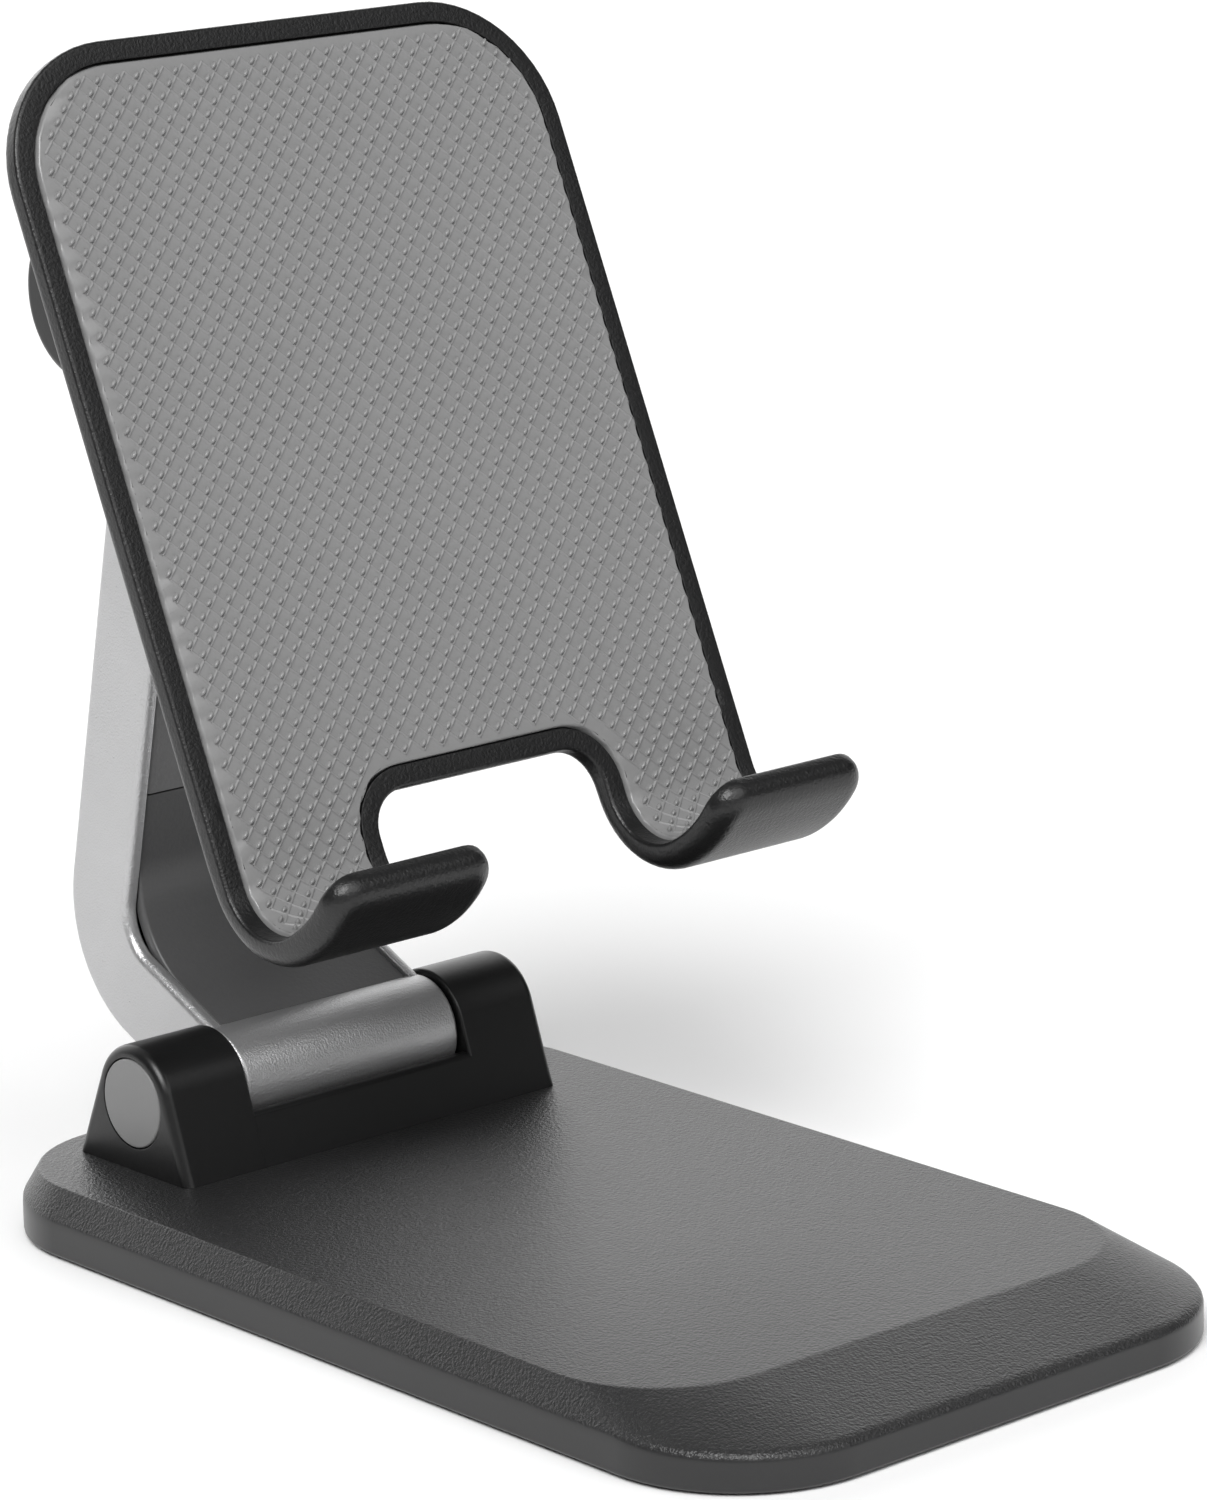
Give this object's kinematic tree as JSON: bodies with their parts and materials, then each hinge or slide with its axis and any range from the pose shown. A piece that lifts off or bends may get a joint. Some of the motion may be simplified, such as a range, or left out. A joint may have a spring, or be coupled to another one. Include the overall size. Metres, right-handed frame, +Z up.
{
  "type": "phone stand",
  "caption": "Folding desk stand for a phone: weighted base, two friction hinges, L-shaped arm and a leaning tray that ends in J-shaped hooks with a cable notch.",
  "frame": {"origin": "Middle of the underside of the whole stand at rest, on the desk.", "axes": "+X to the right of someone facing the tray, +Y away from them to the back, +Z up."},
  "size_m": [0.075, 0.1332, 0.1292],
  "materials": {
    "base_plastic": "fine spark texture, moulded",
    "black_plastic": "satin moulded plastic",
    "silver_paint": "satin silver paint with fine flake",
    "cover_plastic": "satin moulded plastic, upper part with fine texture",
    "grey_silicone": "soft silicone with a raised diamond grid",
    "cap_plastic": "plain satin plastic",
    "black_rubber": "matt rubber",
    "steel": "zinc plated steel",
    "nylon": "natural nylon"
  },
  "bodies": {
    "base": {"base_shell": "base_plastic", "base_bottom_cover": "black_plastic", "base_anti_slip_mat": "black_rubber", "base_ballast_plate": "steel", "base_screw_1": "steel", "base_screw_2": "steel", "base_screw_3": "steel", "base_screw_4": "steel", "lower_clevis_screw_1": "steel", "lower_clevis_screw_2": "steel", "lower_clevis_screw_3": "steel", "lower_clevis_screw_4": "steel", "lower_clevis": "black_plastic", "lower_hinge_pin": "steel", "lower_hinge_pin_nut": "steel", "lower_hinge_friction_washer_right": "steel", "lower_hinge_friction_washer_left": "steel", "lower_hinge_cap_right": "cap_plastic", "lower_hinge_cap_left": "cap_plastic"},
    "arm": {"arm_shell": "silver_paint", "arm_cover_lower": "cover_plastic", "arm_cover_upper": "cover_plastic", "lower_hinge_bush": "nylon", "upper_hinge_bush": "nylon"},
    "tray": {"tray": "black_plastic", "silicone_pad": "grey_silicone", "upper_clevis": "black_plastic", "tray_screw_1": "steel", "tray_screw_2": "steel", "tray_screw_3": "steel", "tray_screw_4": "steel", "upper_hinge_pin": "steel", "upper_hinge_pin_nut": "steel", "upper_hinge_friction_washer_right": "steel", "upper_hinge_friction_washer_left": "steel", "upper_hinge_cap_right": "cap_plastic", "upper_hinge_cap_left": "cap_plastic"}
  },
  "joints": [
    {"name": "arm_fold", "type": "hinge", "parent": "base", "child": "arm", "pos_m": [0, 0.0411, 0.01503], "axis": [1, 0, 0], "range_deg": [-10, 38]},
    {"name": "tray_tilt", "type": "hinge", "parent": "arm", "child": "tray", "pos_m": [0, 0.04575, 0.1027], "axis": [1, 0, 0], "range_deg": [-69, 35.5]}
  ]
}
